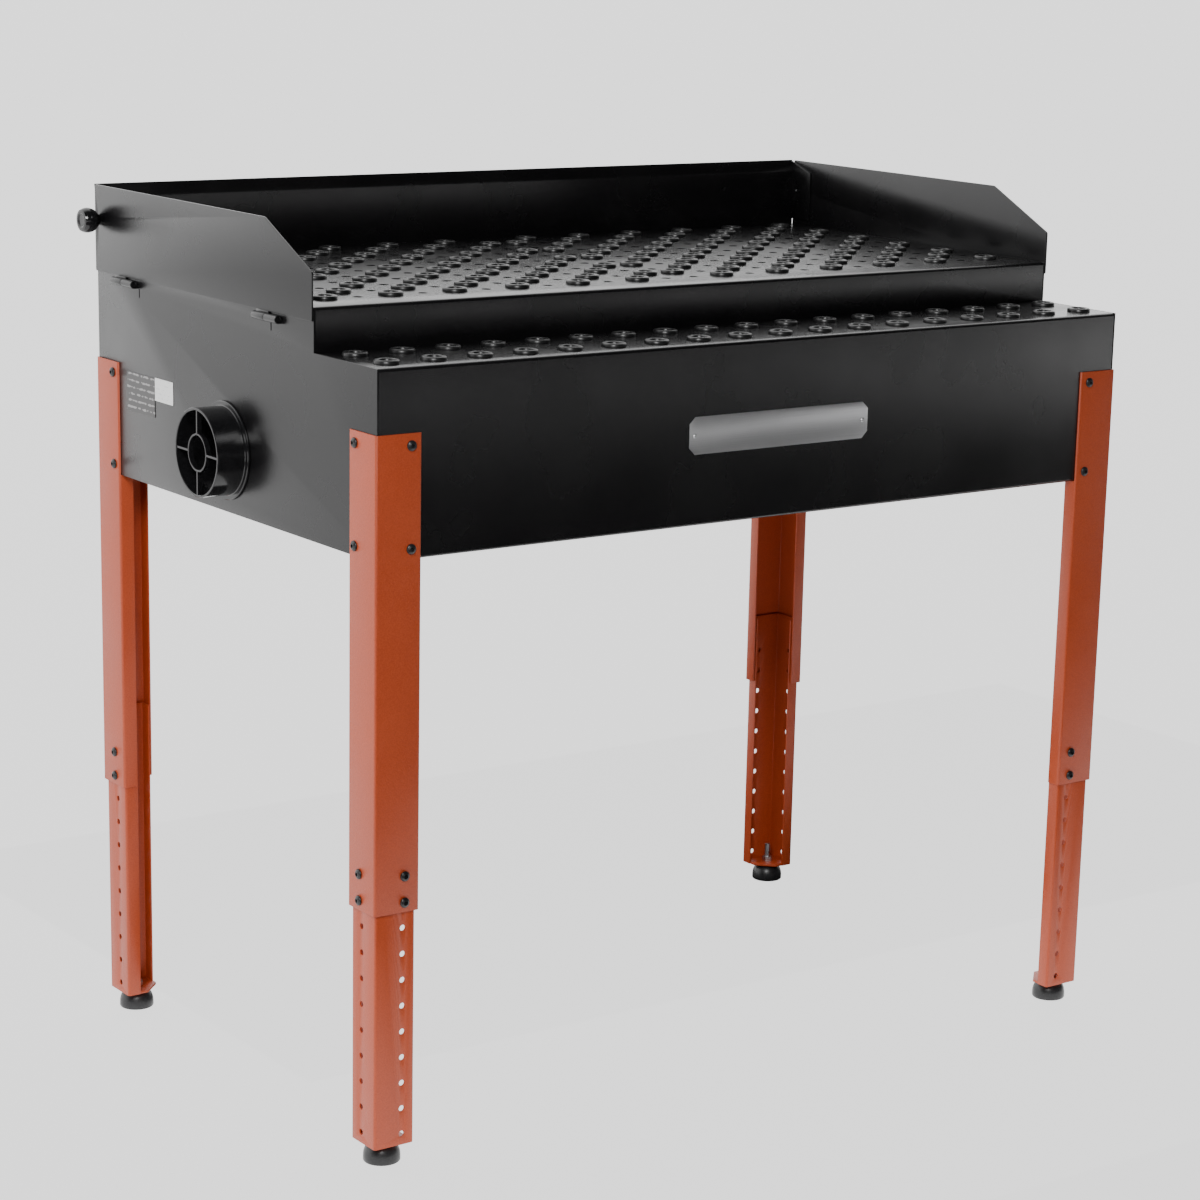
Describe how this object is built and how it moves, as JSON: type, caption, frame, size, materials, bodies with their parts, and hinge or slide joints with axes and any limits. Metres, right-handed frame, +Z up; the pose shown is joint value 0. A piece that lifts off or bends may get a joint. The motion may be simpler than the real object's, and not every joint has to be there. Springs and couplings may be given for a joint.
{
  "type": "downdraft table",
  "caption": "Stepped downdraft sanding table: perforated deck over an air box, fold-down side wings, back guard, side dust port and height-adjustable angle legs on screw-in feet.",
  "frame": {"origin": "middle of the bounding box's footprint, on the floor", "axes": "+X to the right as seen from the front, +Y to the back guard, +Z up"},
  "size_m": [1.124, 0.6562, 1.028],
  "materials": {
    "black_powder_coat": "fine-textured black powder coat, semi-gloss",
    "orange_powder_coat": "fine-textured orange powder coat, satin",
    "black_abs": "gloss injection-moulded plastic",
    "black_phenolic": "polished moulded knob",
    "black_glide": "satin moulded glide",
    "black_oxide": "black oxide fasteners",
    "zinc_plate": "bright zinc plate",
    "brushed_plaque": "plain satin aluminium plate, blank"
  },
  "bodies": {
    "table": {"front_shelf_panel": "black_powder_coat", "riser_deck_panel": "black_powder_coat", "rear_panel": "black_powder_coat", "left_side_panel": "black_powder_coat", "right_side_panel": "black_powder_coat", "floor_pan": "black_powder_coat", "deck_stiffener": "zinc_plate", "back_guard": "black_powder_coat", "front_plaque": "brushed_plaque", "dust_port": "black_abs", "left_front_hinge_pin": "black_oxide", "left_rear_hinge_pin": "black_oxide", "right_front_hinge_pin": "black_oxide", "right_rear_hinge_pin": "black_oxide", "front_left_upper_leg": "orange_powder_coat", "front_right_upper_leg": "orange_powder_coat", "rear_left_upper_leg": "orange_powder_coat", "rear_right_upper_leg": "orange_powder_coat", "front_left_upper_front_bolt": "black_oxide", "front_left_upper_side_bolt": "black_oxide", "front_left_lower_front_bolt": "black_oxide", "front_left_lower_side_bolt": "black_oxide", "front_right_upper_front_bolt": "black_oxide", "front_right_upper_side_bolt": "black_oxide", "front_right_lower_front_bolt": "black_oxide", "front_right_lower_side_bolt": "black_oxide", "rear_left_upper_front_bolt": "black_oxide", "rear_left_upper_side_bolt": "black_oxide", "rear_left_lower_front_bolt": "black_oxide", "rear_left_lower_side_bolt": "black_oxide", "rear_right_upper_front_bolt": "black_oxide", "rear_right_upper_side_bolt": "black_oxide", "rear_right_lower_front_bolt": "black_oxide", "rear_right_lower_side_bolt": "black_oxide"},
    "left_wing": {"left_wing": "black_powder_coat"},
    "left_knob": {"left_knob": "black_phenolic"},
    "right_wing": {"right_wing": "black_powder_coat"},
    "right_knob": {"right_knob": "black_phenolic"},
    "front_left_lower_leg": {"front_left_lower_leg": "orange_powder_coat", "front_left_foot_nut": "zinc_plate"},
    "front_left_foot": {"front_left_foot": "black_glide"},
    "front_right_lower_leg": {"front_right_lower_leg": "orange_powder_coat", "front_right_foot_nut": "zinc_plate"},
    "front_right_foot": {"front_right_foot": "black_glide"},
    "rear_left_lower_leg": {"rear_left_lower_leg": "orange_powder_coat", "rear_left_foot_nut": "zinc_plate"},
    "rear_left_foot": {"rear_left_foot": "black_glide"},
    "rear_right_lower_leg": {"rear_right_lower_leg": "orange_powder_coat", "rear_right_foot_nut": "zinc_plate"},
    "rear_right_foot": {"rear_right_foot": "black_glide"}
  },
  "joints": [
    {"name": "left_wing_fold", "type": "hinge", "parent": "table", "child": "left_wing", "pos_m": [-0.52925, 0.0653, 0.92], "axis": [0, -1, 0], "range_deg": [0, 135]},
    {"name": "left_knob_unscrew", "type": "slide", "parent": "left_wing", "child": "left_knob", "axis": [-1, 0, 0], "range_m": [0, 0.016]},
    {"name": "right_wing_fold", "type": "hinge", "parent": "table", "child": "right_wing", "pos_m": [0.54135, 0.0653, 0.92], "axis": [0, 1, 0], "range_deg": [0, 135]},
    {"name": "right_knob_unscrew", "type": "slide", "parent": "right_wing", "child": "right_knob", "axis": [1, 0, 0], "range_m": [0, 0.016]},
    {"name": "front_left_leg_height", "type": "slide", "parent": "table", "child": "front_left_lower_leg", "axis": [0, 0, 1], "range_m": [0, 0.27]},
    {"name": "front_left_foot_level", "type": "slide", "parent": "front_left_lower_leg", "child": "front_left_foot", "axis": [0, 0, -1], "range_m": [0, 0.015]},
    {"name": "front_right_leg_height", "type": "slide", "parent": "table", "child": "front_right_lower_leg", "axis": [0, 0, 1], "range_m": [0, 0.27]},
    {"name": "front_right_foot_level", "type": "slide", "parent": "front_right_lower_leg", "child": "front_right_foot", "axis": [0, 0, -1], "range_m": [0, 0.015]},
    {"name": "rear_left_leg_height", "type": "slide", "parent": "table", "child": "rear_left_lower_leg", "axis": [0, 0, 1], "range_m": [0, 0.27]},
    {"name": "rear_left_foot_level", "type": "slide", "parent": "rear_left_lower_leg", "child": "rear_left_foot", "axis": [0, 0, -1], "range_m": [0, 0.015]},
    {"name": "rear_right_leg_height", "type": "slide", "parent": "table", "child": "rear_right_lower_leg", "axis": [0, 0, 1], "range_m": [0, 0.27]},
    {"name": "rear_right_foot_level", "type": "slide", "parent": "rear_right_lower_leg", "child": "rear_right_foot", "axis": [0, 0, -1], "range_m": [0, 0.015]}
  ]
}
